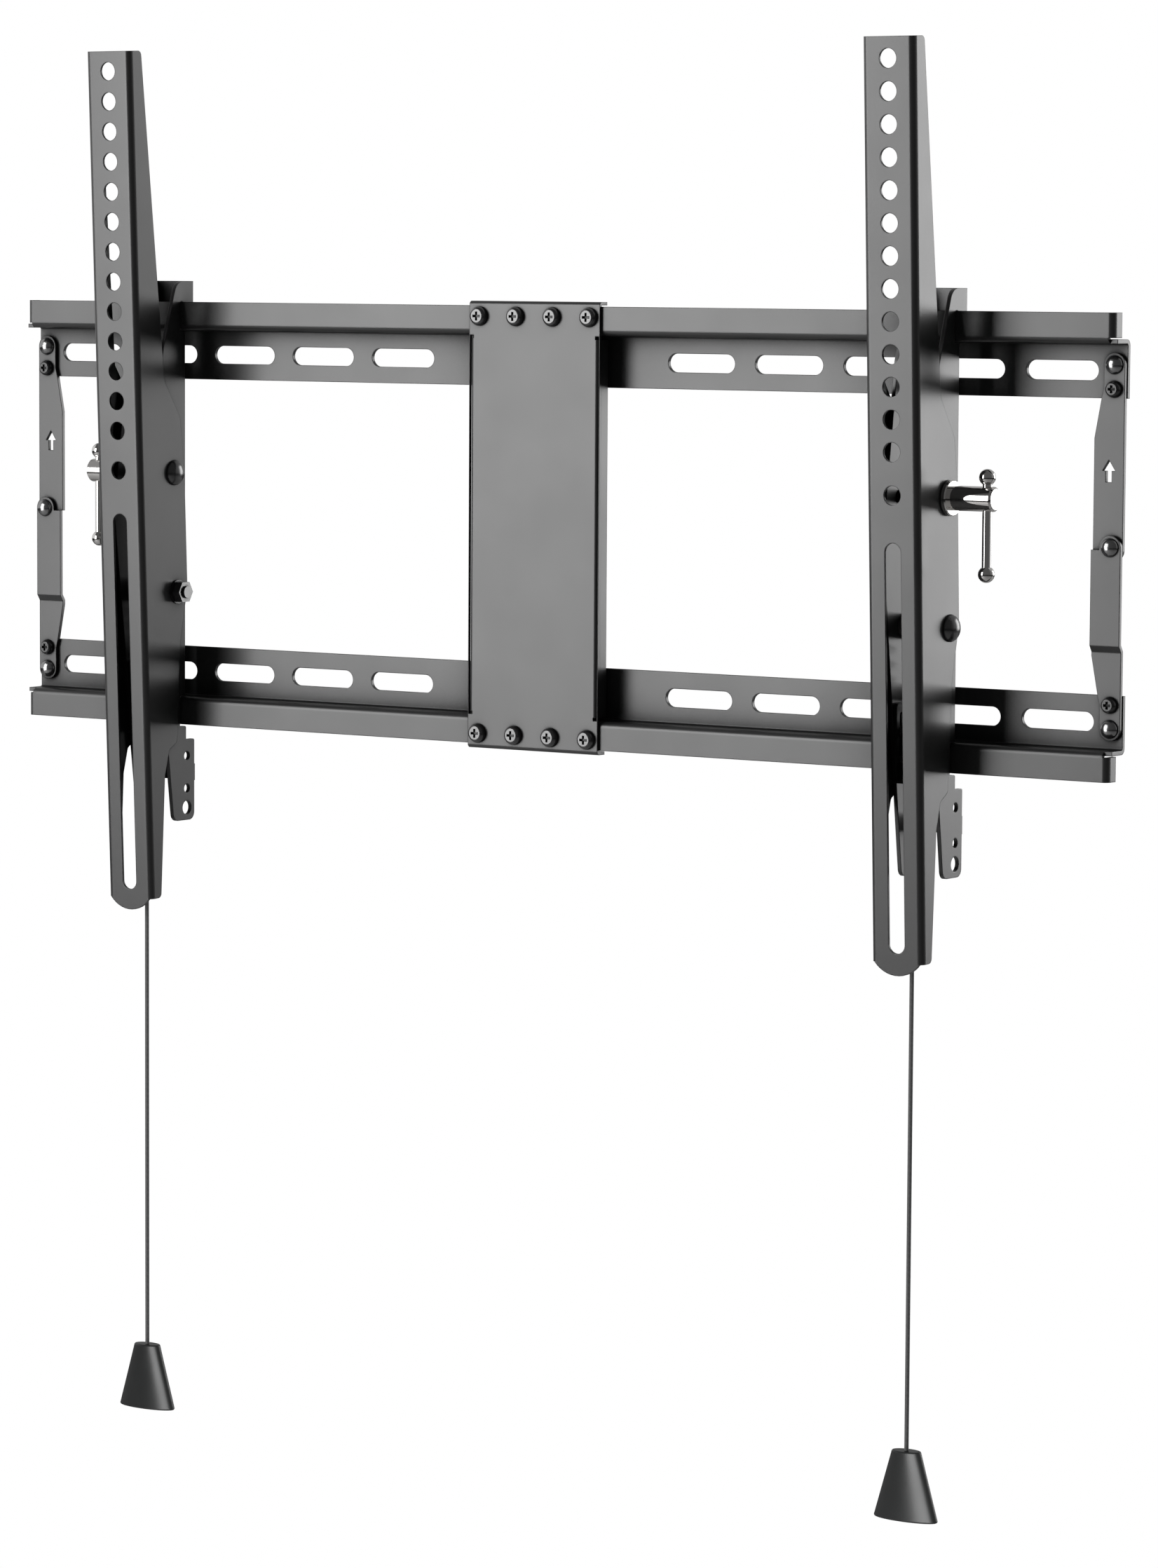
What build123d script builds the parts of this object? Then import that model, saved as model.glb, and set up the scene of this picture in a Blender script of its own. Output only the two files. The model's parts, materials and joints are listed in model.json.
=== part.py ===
from build123d import *
from math import cos, radians, sin
import os

# Tilting wall bracket for a flat screen. Millimetres, +X right, +Y into the wall, +Z up.
# The wall is the plane Y = 0 and the frame's centre is the origin.

# wall frame
rail_end = 320.0            # half the length of the frame
rail_sheet = 2.0
rail_bend = 1.0             # inner bend radius
rail_split = 1.0            # gap between the two halves of a rail
rail_top = 107.5            # top edge of the upper lip
lip_height = 14.2           # lip with its bend
lip_front = 14.0            # front of the lip from the wall
lip_setback = 1.0           # the web is this much longer than the lip
lip_return = 7.7            # depth of the folded lip end
lip_relief = 0.6            # slit between the folded end and the shelf
web_bottom = 68.2           # lower edge of the upper web
slot_length = 38.0
slot_height = 9.0
slot_pitch = 49.4
slot_count = 5
slot_row = 80.8             # height of the slot row
slot_inner = 69.2           # inner end of the first slot

# centre plate
plate_half = 38.4
plate_sheet = 1.6
plate_top_return = 6.5      # depth of the top and bottom flanges
plate_side_return = 8.5
plate_side_set = 0.7        # the folded sides stand inside the tabs
plate_side_half = 91.5      # half the height of the folded sides
plate_notch = 1.6           # relief at the ends of the folded sides
plate_inner_bend = 0.3
plate_gap = 0.6             # lip edge to the plate's flange
plate_screw_pitch = 21.5
plate_screw_row = 102.3
plate_screw_count = 4
screw_shank = 5.0
screw_head = 9.6
screw_rise = 3.2
screw_grip = 3.0            # thread that shows behind the lip

# side straps
strap_sheet = 2.0
strap_margin = 5.5          # strap edge to the line of rivets and lock screws
strap_width = 15.5          # wide part
strap_proud = -0.4           # strap edge past the rail end
strap_rivet_row = 83.6
strap_screw_row = 72.5
strap_end_half = 5.4
strap_neck_top = 68.0       # the wide part narrows between these heights
strap_neck_low = 50.0
strap_jog_top = 45.0
strap_jog_low = 48.0
strap_tongue = 5.6          # round end at the middle rivet
strap_shoulder = 1.2        # step beside the middle rivet
arrow_height = 35.0
arrow_length = 10.2
arrow_head = 5.0
arrow_width = 6.6
arrow_shaft = 3.0
rivet_shank = 4.0
rivet_head = 8.8
rivet_dome = 3.2
lock_head = 8.0
lock_rise = 3.0
lock_shank = 4.0
pan_flat = 0.64             # flat top against the head
recess_span = 0.46          # cross recess against the head
recess_width = 1.3
recess_depth = 1.3

# arms
arm_right_x = 223.5
arm_left_x = -231.0
arm_tilt = 2.35             # degrees, top forward
arm_length = 434.0
arm_width = 28.0
arm_sheet = 1.2
arm_bend = 1.8
arm_toe = 6.0               # round tongue below the side walls
arm_toe_half = 12.2
arm_pivot_drop = 273.2      # arm top to pivot
arm_pivot_depth = 27.6      # arm face to pivot
arm_top_depth = 9.5         # depth of the side walls, top to bottom
arm_neck_drop = 166.0
arm_neck_depth = 21.6
arm_shoulder_drop = 185.0
arm_shoulder_step = 2.5     # shoulder short of the belly
arm_belly_top = 210.0
arm_belly_low = 272.0
arm_belly_depth = 36.0
arm_heel_drop = 299.0
arm_heel_step = 7.0         # heel short of the belly
arm_knee_drop = 350.0
arm_knee_depth = 24.3
arm_step_drop = 353.5       # cut under the knee
arm_step_depth = 17.6
arm_ankle_drop = 366.0
arm_ankle_depth = 13.6
arm_toe_depth = 8.0
arm_slim_drop = 158.0       # the left side wall is slimmer down to here
arm_slim_depth = 15.6
arm_corner = 2.5
arm_round = 14.0
arm_hole = 9.0
arm_hole_first = 10.0
arm_hole_pitch = 15.0
arm_hole_count = 13
arm_hole_last = 210.0
arm_slot_top = 232.0
arm_slot_margin = 10.5      # slot end to the arm's end
arm_slot_width = 8.6

# hangers inside the arms
hanger_gap = 0.6            # arm wall to hanger plate
hanger_sheet = 2.0
hanger_fold = 1.8           # outer radius where the webs are folded
hanger_top = 118.0
hanger_back = 2.4           # back of the hook from the wall
hanger_spine = 10.3         # back of the plates between the rails
spine_play = 0.6            # plates to the rails' shelves
hook_play = 0.5             # lip to the hook's walls
hook_seat = 0.1             # lip edge to the hook's ceiling
hook_drop = 9.5             # length of the hook behind the lip
hook_nose = 17.0            # front of the hook's top
hook_nose_radius = 7.0
hanger_throat_z = 84.0
hanger_throat_y = 28.0
hanger_belly_z = 2.0
hanger_belly_y = 40.0
hanger_foot = 157.0         # bottom of the legs below the origin
hanger_foot_front = 19.5
hanger_foot_corner = 4.0
leg_under = 1.1             # lip edge to the step under it
leg_under_back = 9.5
leg_step = 115.5
leg_back = 2.7
leg_strap_top = 128.5       # cross strap between the legs
leg_strap_low = 137.0
leg_strap_back = 1.0
leg_hole_y = 8.8
leg_hole_rows = (124.0, 140.7)
leg_hole = 4.6
leg_lock_row = 150.6
leg_lock_hole = 7.2

# pivot
pivot_height = -39.4
pivot_y = -19.0
pivot_shank = 6.0
pivot_fit = 0.1             # radial play of the arm on its bolt
pivot_head = 13.0
pivot_dome = 4.4
pivot_nut = 10.0            # across flats
pivot_nut_height = 4.8
pivot_boss = 0.8            # washer face of the nut
pivot_thread = 1.2          # thread past the nut
spacer_outer = 12.0
washer_outer = 12.0
washer_play = 0.05

# clamp
clamp_rise = 60.6           # pivot to clamp bolt, along the arm
clamp_shank = 6.0
clamp_play = 0.5            # bolt in the hanger's arc slots
clamp_swing = (-2.6, 3.9)   # degrees the arc slots leave on each side of rest
clamp_head = 12.8
clamp_dome = 4.2
collar_outer = 16.8
collar_thick = 2.6
collar_gap = 0.1
barrel_outer = 11.6
barrel_length = 25.0
barrel_edge = 1.0
barrel_bore_fit = 0.05
barrel_bore_depth = 14.0
bar_reach = 20.5            # arm wall to the sliding bar
bar_thick = 4.4
bar_fit = 0.1
bar_ball = 7.8
bar_span = 44.8             # ball to ball
bar_seat = 0.35             # upper ball above the barrel
bar_socket = 2.4            # rod inside each ball

# latch
latch_sheet = 1.5
latch_play = 0.5            # latch to hanger plate
latch_floor = 110.6         # top of the floor below the origin
latch_front = 31.0
latch_finger_gap = 0.7      # finger behind the lip
latch_finger_rise = 7.2
latch_finger_half = 6.0
latch_cheek_front = 29.0
latch_cheek_back = 19.5
latch_cheek_top = 75.0
latch_travel = 6.5
latch_slot_end = 0.3
latch_corner = 2.0
guide_y = 24.0
guide_rows = (88.0, 102.0)
guide_pin = 4.0
guide_fit = 0.1
spring_wire = 1.1
spring_y = -18.0
spring_coil = 6.0           # mean diameter
spring_turns = 9
spring_gap = 0.3

# cord and pull
cord_y = -26.4
cord_thick = 2.1
cord_hole = 2.7
cord_stop = 5.0
cord_stop_height = 4.0
cord_lift = 1.0             # cord end above its stop
cord_sunk = 9.0             # cord end inside the pull
pull_top = -427.5
pull_height = 33.0
pull_top_size = (15.0, 9.0)
pull_low_size = (34.6, 13.0)
pull_edge = 0.8

# worked out from the values above
quarter_turn = 90.0
hex_sides = 6
bend_mid = rail_bend + rail_sheet / 2
shelf_mid = rail_top - lip_height + rail_sheet / 2
shelf_face = shelf_mid + rail_sheet / 2
lip_end = rail_end - lip_setback
lip_flat_end = lip_end - rail_bend - rail_sheet
lip_back = lip_front - rail_sheet
plate_front = lip_front + plate_sheet
first_screw = plate_screw_pitch / 2
plate_top = rail_top + plate_gap + plate_sheet
strap_front = rail_sheet + strap_sheet
strap_outer = rail_end + strap_proud
strap_axis = strap_outer - strap_margin
strap_inner = strap_outer - strap_width
tilt = radians(arm_tilt)
arm_up = Vector(0, -sin(tilt), cos(tilt))
arm_in = Vector(0, cos(tilt), sin(tilt))
arm_half = arm_width / 2
arm_wall_low = arm_length - arm_toe
arm_shoulder_depth = arm_belly_depth - arm_shoulder_step
arm_heel_depth = arm_belly_depth - arm_heel_step
arm_slot_low = arm_length - arm_slot_margin
hanger_half = arm_half - arm_sheet - hanger_gap
hanger_inner = hanger_half - hanger_sheet
clamp_center = Vector(0, pivot_y, pivot_height) + arm_up * clamp_rise
latch_half = hanger_inner - latch_play
latch_under = latch_floor + latch_sheet
finger_front = lip_back - latch_finger_gap
finger_top = latch_floor - latch_finger_rise

os.makedirs("parts", exist_ok=True)


def save(builder, name):
    builder.part.label = name
    export_step(builder.part, f"parts/{name}.step")


def side_name(side):
    return "right" if side > 0 else "left"


def turning_plane(side, x, y, z):
    # local X runs outward along the bolt, local Y runs up
    return Plane(origin=(x, y, z), x_dir=(side, 0, 0), z_dir=(0, -side, 0))


def front_plane(x, y, z):
    # looks at the wall: local X right, local Y up, normal to the front
    return Plane(origin=(x, y, z), x_dir=(1, 0, 0), z_dir=(0, -1, 0))


def arm_side_plane(x):
    # local X runs to the wall and local Y up the tilted arm, from the pivot
    return Plane(origin=(x, pivot_y, pivot_height), x_dir=arm_in, z_dir=(1, 0, 0))


def arm_face_plane(x):
    origin = Vector(x, pivot_y, pivot_height) - arm_in * arm_pivot_depth
    return Plane(origin=origin, x_dir=(1, 0, 0), z_dir=arm_in * -1)


def turn_dome(plane, head, rise, shank, length):
    # domed fastener in the open part: head outward and shank inward along local X
    with BuildSketch(plane) as half_section:
        with BuildLine():
            EllipticalCenterArc((0, 0), rise, head / 2, start_angle=0, arc_size=quarter_turn)
            Polyline((0, head / 2), (0, shank / 2), (-length, shank / 2), (-length, 0), (rise, 0))
        make_face()
    revolve(half_section.sketch, axis=Axis(plane.origin, plane.x_dir))


def turn_pan(plane, head, rise, shank, length):
    # the same with a flat top and a rounded flank
    flat = head * pan_flat / 2
    with BuildSketch(plane) as half_section:
        with BuildLine():
            EllipticalCenterArc((0, flat), rise, head / 2 - flat, start_angle=0, arc_size=quarter_turn)
            Polyline(
                (0, head / 2), (0, shank / 2), (-length, shank / 2), (-length, 0), (rise, 0), (rise, flat)
            )
        make_face()
    revolve(half_section.sketch, axis=Axis(plane.origin, plane.x_dir))


def cut_cross(plane, head, rise):
    # cross recess in a pan head that faces along the plane's normal
    with BuildSketch(plane.offset(rise - recess_depth)) as cross:
        Rectangle(head * recess_span, recess_width)
        Rectangle(recess_width, head * recess_span)
    extrude(cross.sketch, amount=rise, mode=Mode.SUBTRACT)


def stand_disc(plane, outer, bore, thick):
    with BuildSketch(plane) as ring:
        Circle(outer / 2)
        Circle(bore / 2, mode=Mode.SUBTRACT)
    extrude(ring.sketch, amount=thick)


def rail_half():
    # upper right half; the other three are mirrored from it
    with BuildPart() as rail:
        with BuildSketch(Plane.YZ.offset(rail_split / 2)):
            with BuildLine():
                FilletPolyline(
                    (-rail_sheet / 2, web_bottom),
                    (-rail_sheet / 2, shelf_mid),
                    (rail_sheet / 2 - lip_front, shelf_mid),
                    (rail_sheet / 2 - lip_front, rail_top),
                    radius=bend_mid,
                )
            trace(line_width=rail_sheet)
        extrude(amount=lip_flat_end - rail_split / 2)
        with BuildSketch(Plane.YZ.offset(lip_flat_end)):
            with BuildLine():
                FilletPolyline(
                    (-rail_sheet / 2, web_bottom),
                    (-rail_sheet / 2, shelf_mid),
                    (bend_mid - lip_front, shelf_mid),
                    radius=bend_mid,
                )
            trace(line_width=rail_sheet)
        extrude(amount=rail_end - lip_flat_end)
        with BuildSketch(Plane.XY.offset(shelf_face + lip_relief)):
            with BuildLine():
                FilletPolyline(
                    (lip_flat_end - bend_mid, rail_sheet / 2 - lip_front),
                    (lip_end - rail_sheet / 2, rail_sheet / 2 - lip_front),
                    (lip_end - rail_sheet / 2, lip_return - lip_front),
                    radius=bend_mid,
                )
            trace(line_width=rail_sheet)
        extrude(amount=rail_top - shelf_face - lip_relief)
        with BuildSketch(Plane.XZ):
            for index in range(slot_count):
                with Locations((slot_inner + slot_length / 2 + index * slot_pitch, slot_row)):
                    SlotOverall(slot_length, slot_height)
            for row in (strap_rivet_row, strap_screw_row):
                with Locations((strap_axis, row)):
                    Circle(rivet_shank / 2)
        extrude(amount=rail_sheet, mode=Mode.SUBTRACT)
        with BuildSketch(front_plane(0, -lip_back, 0)):
            for index in range(plate_screw_count // 2):
                with Locations((first_screw + index * plate_screw_pitch, plate_screw_row)):
                    Circle(screw_shank / 2)
        extrude(amount=rail_sheet, mode=Mode.SUBTRACT)
    return rail


top_right_rail = rail_half()
save(top_right_rail, "top_right_rail")

with BuildPart() as top_left_rail:
    mirror(top_right_rail.part, about=Plane.YZ)
save(top_left_rail, "top_left_rail")

with BuildPart() as bottom_right_rail:
    mirror(top_right_rail.part, about=Plane.XY)
save(bottom_right_rail, "bottom_right_rail")

with BuildPart() as bottom_left_rail:
    mirror(bottom_right_rail.part, about=Plane.YZ)
save(bottom_left_rail, "bottom_left_rail")


with BuildPart() as center_plate:
    plate_bend = plate_inner_bend + plate_sheet / 2
    side_start = plate_half - plate_side_set - plate_sheet / 2
    with BuildSketch(Plane.YZ):
        with BuildLine():
            FilletPolyline(
                (plate_top_return - plate_front, plate_top - plate_sheet / 2),
                (plate_sheet / 2 - plate_front, plate_top - plate_sheet / 2),
                (plate_sheet / 2 - plate_front, plate_sheet / 2 - plate_top),
                (plate_top_return - plate_front, plate_sheet / 2 - plate_top),
                radius=plate_bend,
            )
        trace(line_width=plate_sheet)
    extrude(amount=plate_half, both=True)
    # the sides between the notches are cut back and folded to the wall
    with BuildSketch(front_plane(0, -lip_front, 0)):
        with Locations((side_start, 0), (-side_start, 0)):
            Rectangle(2 * plate_bend, 2 * (plate_side_half + plate_notch))
    extrude(amount=plate_sheet, mode=Mode.SUBTRACT)
    with BuildSketch(Plane.XY.offset(-plate_side_half)):
        with BuildLine():
            FilletPolyline(
                (-side_start, plate_side_return - plate_front),
                (-side_start, plate_sheet / 2 - plate_front),
                (side_start, plate_sheet / 2 - plate_front),
                (side_start, plate_side_return - plate_front),
                radius=plate_bend,
            )
        trace(line_width=plate_sheet)
    extrude(amount=2 * plate_side_half)
    with BuildSketch(front_plane(0, -lip_front, 0)):
        for row in (plate_screw_row, -plate_screw_row):
            with Locations((0, row)):
                with GridLocations(plate_screw_pitch, 0, plate_screw_count, 1):
                    Circle(screw_shank / 2)
    extrude(amount=plate_sheet, mode=Mode.SUBTRACT)
save(center_plate, "center_plate")

with BuildPart() as center_plate_screws:
    for row in (plate_screw_row, -plate_screw_row):
        for index in range(plate_screw_count):
            screw_x = (index - (plate_screw_count - 1) / 2) * plate_screw_pitch
            seat = front_plane(screw_x, -plate_front, row)
            turned = Plane(origin=seat.origin, x_dir=(0, -1, 0), z_dir=(1, 0, 0))
            grip = plate_sheet + rail_sheet + screw_grip
            turn_pan(turned, screw_head, screw_rise, screw_shank, grip)
            cut_cross(seat, screw_head, screw_rise)
save(center_plate_screws, "center_plate_screws")


def round_end(left, right, level, way):
    # half circle that closes a strap upward (1) or downward (-1)
    middle = ((left + right) / 2, level + way * (right - left) / 2)
    ThreePointArc((left, level), middle, (right, level))


def strap_holes(rows):
    for row in rows:
        with Locations((strap_axis, row)):
            Circle(rivet_shank / 2, mode=Mode.SUBTRACT)


with BuildPart() as right_upper_strap:
    with BuildSketch(front_plane(0, -rail_sheet, 0)):
        with BuildLine():
            Polyline(
                (strap_axis - strap_end_half, strap_rivet_row),
                (strap_axis - strap_end_half, strap_screw_row),
                (strap_axis - strap_end_half - strap_shoulder, strap_neck_top),
                (strap_inner, strap_neck_low),
                (strap_inner, -strap_shoulder),
                (strap_axis - strap_tongue, -strap_shoulder),
            )
            round_end(strap_axis - strap_tongue, strap_outer, -strap_shoulder, -1)
            Line((strap_outer, -strap_shoulder), (strap_outer, strap_rivet_row))
            round_end(strap_axis - strap_end_half, strap_outer, strap_rivet_row, 1)
        make_face()
        strap_holes((strap_rivet_row, strap_screw_row, 0))
        arrow_x = (strap_inner + strap_outer) / 2
        arrow_tip = arrow_height + arrow_length / 2
        arrow_tail = arrow_height - arrow_length / 2
        with BuildLine():
            Polyline(
                (arrow_x, arrow_tip),
                (arrow_x - arrow_width / 2, arrow_tip - arrow_head),
                (arrow_x - arrow_shaft / 2, arrow_tip - arrow_head),
                (arrow_x - arrow_shaft / 2, arrow_tail),
                (arrow_x + arrow_shaft / 2, arrow_tail),
                (arrow_x + arrow_shaft / 2, arrow_tip - arrow_head),
                (arrow_x + arrow_width / 2, arrow_tip - arrow_head),
                close=True,
            )
        make_face(mode=Mode.SUBTRACT)
    extrude(amount=strap_sheet)
save(right_upper_strap, "right_upper_strap")

with BuildPart() as right_lower_strap:
    # side view gives the jog, front view gives the outline
    with BuildSketch(Plane.YZ.offset(strap_inner)):
        with BuildLine():
            Polyline(
                (-strap_front - strap_sheet / 2, strap_tongue),
                (-strap_front - strap_sheet / 2, -strap_jog_top),
                (-rail_sheet - strap_sheet / 2, -strap_jog_low),
                (-rail_sheet - strap_sheet / 2, -strap_rivet_row - strap_end_half),
            )
        trace(line_width=strap_sheet)
    extrude(amount=strap_outer - strap_inner)
    with BuildSketch(front_plane(0, 0, 0)):
        with BuildLine():
            Polyline(
                (strap_axis - strap_tongue, 0),
                (strap_axis - strap_tongue, -strap_shoulder),
                (strap_inner, -strap_shoulder),
                (strap_inner, -strap_neck_low),
                (strap_axis - strap_end_half - strap_shoulder, -strap_neck_top),
                (strap_axis - strap_end_half, -strap_screw_row),
                (strap_axis - strap_end_half, -strap_rivet_row),
            )
            round_end(strap_axis - strap_end_half, strap_outer, -strap_rivet_row, -1)
            Line((strap_outer, -strap_rivet_row), (strap_outer, 0))
            round_end(strap_axis - strap_tongue, strap_outer, 0, 1)
        make_face()
        strap_holes((-strap_rivet_row, -strap_screw_row, 0))
    extrude(amount=strap_front + strap_sheet * 2, mode=Mode.INTERSECT)
save(right_lower_strap, "right_lower_strap")

for source, name in ((right_upper_strap, "left_upper_strap"), (right_lower_strap, "left_lower_strap")):
    with BuildPart() as left_strap:
        mirror(source.part, about=Plane.YZ)
    save(left_strap, name)

with BuildPart() as strap_rivets:
    for side in (1, -1):
        for row in (strap_rivet_row, 0, -strap_rivet_row):
            # the middle rivet holds the two straps, the others a strap and a rail
            front = strap_front if row else strap_front + strap_sheet
            turned = Plane(origin=(side * strap_axis, -front, row), x_dir=(0, -1, 0), z_dir=(1, 0, 0))
            turn_dome(turned, rivet_head, rivet_dome, rivet_shank, strap_sheet + rail_sheet)
save(strap_rivets, "strap_rivets")

with BuildPart() as strap_lock_screws:
    for side in (1, -1):
        for row in (strap_screw_row, -strap_screw_row):
            seat = front_plane(side * strap_axis, -strap_front, row)
            turned = Plane(origin=seat.origin, x_dir=(0, -1, 0), z_dir=(1, 0, 0))
            turn_pan(turned, lock_head, lock_rise, lock_shank, strap_front)
            cut_cross(seat, lock_head, lock_rise)
save(strap_lock_screws, "strap_lock_screws")


def hanger_outline():
    notch_front = -lip_front - hook_play
    notch_back = -lip_back + hook_play
    seat = rail_top + hook_seat
    under = -rail_top - leg_under
    spine_end = rail_top - lip_height - spine_play
    return (
        (-hanger_back, hanger_top),
        (-hook_nose, hanger_top),
        (-hanger_throat_y, hanger_throat_z),
        (-hanger_belly_y, hanger_belly_z),
        (-hanger_foot_front, -hanger_foot),
        (-leg_back, -hanger_foot),
        (-leg_back, -leg_strap_low),
        (-leg_strap_back, -leg_strap_low),
        (-leg_strap_back, -leg_strap_top),
        (-leg_back, -leg_strap_top),
        (-leg_back, -leg_step),
        (-leg_under_back, -leg_step),
        (-leg_under_back, under),
        (notch_front, under),
        (notch_front, -spine_end),
        (-hanger_spine, -spine_end),
        (-hanger_spine, spine_end),
        (notch_front, spine_end),
        (notch_front, seat),
        (notch_back, seat),
        (notch_back, seat - hook_drop),
        (-hanger_back, seat - hook_drop),
    )


def make_hanger(x):
    sharp = 0.0
    corner = rail_bend
    radii = (
        sharp, hook_nose_radius, hook_nose_radius, hook_nose_radius * 2, hanger_foot_corner,
        hanger_foot_corner, sharp, sharp, sharp, sharp, corner, sharp, corner, sharp, corner,
        corner, corner, sharp, corner, corner, corner, sharp,
    )
    with BuildPart() as hanger:
        with BuildSketch(Plane.YZ.offset(x)):
            with BuildLine():
                FilletPolyline(*hanger_outline(), radius=radii, close=True)
            make_face()
            with Locations((pivot_y, pivot_height)):
                Circle(pivot_shank / 2, mode=Mode.SUBTRACT)
            swing_start, swing_end = clamp_swing
            with BuildLine(mode=Mode.PRIVATE):
                swing = CenterArc(
                    (pivot_y, pivot_height), clamp_rise,
                    quarter_turn + arm_tilt + swing_start,
                    swing_end - swing_start,
                )
            SlotArc(swing.edge(), clamp_shank + 2 * clamp_play, mode=Mode.SUBTRACT)
            for row in guide_rows:
                with Locations((-guide_y, -row)):
                    Circle(guide_pin / 2, mode=Mode.SUBTRACT)
            for row in leg_hole_rows:
                with Locations((-leg_hole_y, -row)):
                    Circle(leg_hole / 2, mode=Mode.SUBTRACT)
            with Locations((-leg_hole_y, -leg_lock_row)):
                Circle(leg_lock_hole / 2, mode=Mode.SUBTRACT)
        extrude(amount=hanger_half, both=True)
        # the room between the plates, open except at the two cross webs
        with BuildSketch(Plane.YZ.offset(x)):
            with BuildLine():
                Polyline(
                    (-hanger_belly_y, hanger_top),
                    (-hanger_back - hanger_sheet, hanger_top),
                    (-hanger_back - hanger_sheet, -leg_strap_top),
                    (-leg_strap_back - hanger_sheet, -leg_strap_top),
                    (-leg_strap_back - hanger_sheet, -leg_strap_low),
                    (0, -leg_strap_low),
                    (0, -hanger_foot),
                    (-hanger_belly_y, -hanger_foot),
                    close=True,
                )
            make_face()
            with BuildLine():
                Polyline(
                    (-hanger_back - hanger_sheet, -leg_step),
                    (0, -leg_step),
                    (0, -leg_strap_top),
                    (-hanger_back - hanger_sheet, -leg_strap_top),
                    close=True,
                )
            make_face()
        extrude(amount=hanger_inner, both=True, mode=Mode.SUBTRACT)
        web_backs = (
            hanger.edges()
            .filter_by(Axis.Z)
            .filter_by(lambda edge: abs(abs(edge.center().X - x) - hanger_half) < rail_bend)
            .filter_by(lambda edge: edge.center().Y > -hanger_back - rail_bend)
            .filter_by(
                lambda edge: edge.center().Z > rail_top - hook_drop
                or -leg_strap_low < edge.center().Z < -leg_strap_top
            )
        )
        fillet(web_backs, hanger_fold)
    return hanger


def make_arm(x):
    def place(drop, depth):
        return (depth - arm_pivot_depth, arm_pivot_drop - drop)

    sharp = 0.0
    outline = (
        place(0, 0),
        place(arm_wall_low, 0),
        place(arm_wall_low, arm_toe_depth),
        place(arm_ankle_drop, arm_ankle_depth),
        place(arm_step_drop, arm_step_depth),
        place(arm_knee_drop, arm_knee_depth),
        place(arm_heel_drop, arm_heel_depth),
        place(arm_belly_low, arm_belly_depth),
        place(arm_belly_top, arm_belly_depth),
        place(arm_shoulder_drop, arm_shoulder_depth),
        place(arm_neck_drop, arm_neck_depth),
        place(0, arm_top_depth),
    )
    radii = (
        sharp, sharp, arm_corner, arm_corner * 2, arm_corner, arm_corner, arm_round, arm_round,
        arm_round, arm_corner * 2, arm_corner * 2, arm_corner,
    )
    with BuildPart() as arm:
        with BuildSketch(arm_side_plane(x)):
            with BuildLine():
                FilletPolyline(*outline, radius=radii, close=True)
            make_face()
        extrude(amount=arm_half, both=True)
        front_face = arm.faces().sort_by(Axis((x, 0, 0), arm_in))[0]
        long_edges = front_face.edges().filter_by(Axis((x, 0, 0), arm_up))
        fillet(long_edges, arm_bend + arm_sheet)
        with BuildSketch(arm_face_plane(x)):
            toe_line = arm_pivot_drop - arm_wall_low
            with BuildLine():
                Line((-arm_toe_half, toe_line), (arm_toe_half, toe_line))
                ThreePointArc(
                    (-arm_toe_half, toe_line), (0, toe_line - arm_toe), (arm_toe_half, toe_line)
                )
            make_face()
        extrude(amount=-arm_sheet)
        with BuildSketch(arm_face_plane(x).offset(-arm_sheet)):
            with Locations((0, arm_pivot_drop - arm_length / 2)):
                RectangleRounded(arm_width - 2 * arm_sheet, arm_length * 2, arm_bend)
        extrude(amount=-arm_belly_depth * 2, mode=Mode.SUBTRACT)
        with BuildSketch(arm_side_plane(x - arm_half)):
            with BuildLine():
                Polyline(
                    place(0, arm_top_depth),
                    place(arm_slim_drop, arm_slim_depth),
                    place(arm_shoulder_drop, arm_shoulder_depth),
                    place(arm_shoulder_drop, arm_belly_depth),
                    place(0, arm_belly_depth),
                    close=True,
                )
            make_face()
        extrude(amount=arm_sheet, mode=Mode.SUBTRACT)
        with BuildSketch(arm_face_plane(x)):
            for index in range(arm_hole_count):
                with Locations((0, arm_pivot_drop - arm_hole_first - index * arm_hole_pitch)):
                    Circle(arm_hole / 2)
            with Locations((0, arm_pivot_drop - arm_hole_last)):
                Circle(arm_hole / 2)
            with Locations((0, arm_pivot_drop - (arm_slot_top + arm_slot_low) / 2)):
                SlotOverall(arm_slot_low - arm_slot_top, arm_slot_width, rotation=quarter_turn)
        extrude(amount=-arm_sheet, mode=Mode.SUBTRACT)
        with BuildSketch(arm_side_plane(x)):
            Circle(pivot_shank / 2 + pivot_fit)
            with Locations((0, clamp_rise)):
                Circle(clamp_shank / 2)
        extrude(amount=arm_half, both=True, mode=Mode.SUBTRACT)
    return arm


def along_x(side, x, center):
    # disc plane whose normal runs outward along X
    return Plane(origin=(x, center.Y, center.Z), x_dir=(0, side, 0), z_dir=(side, 0, 0))


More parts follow.
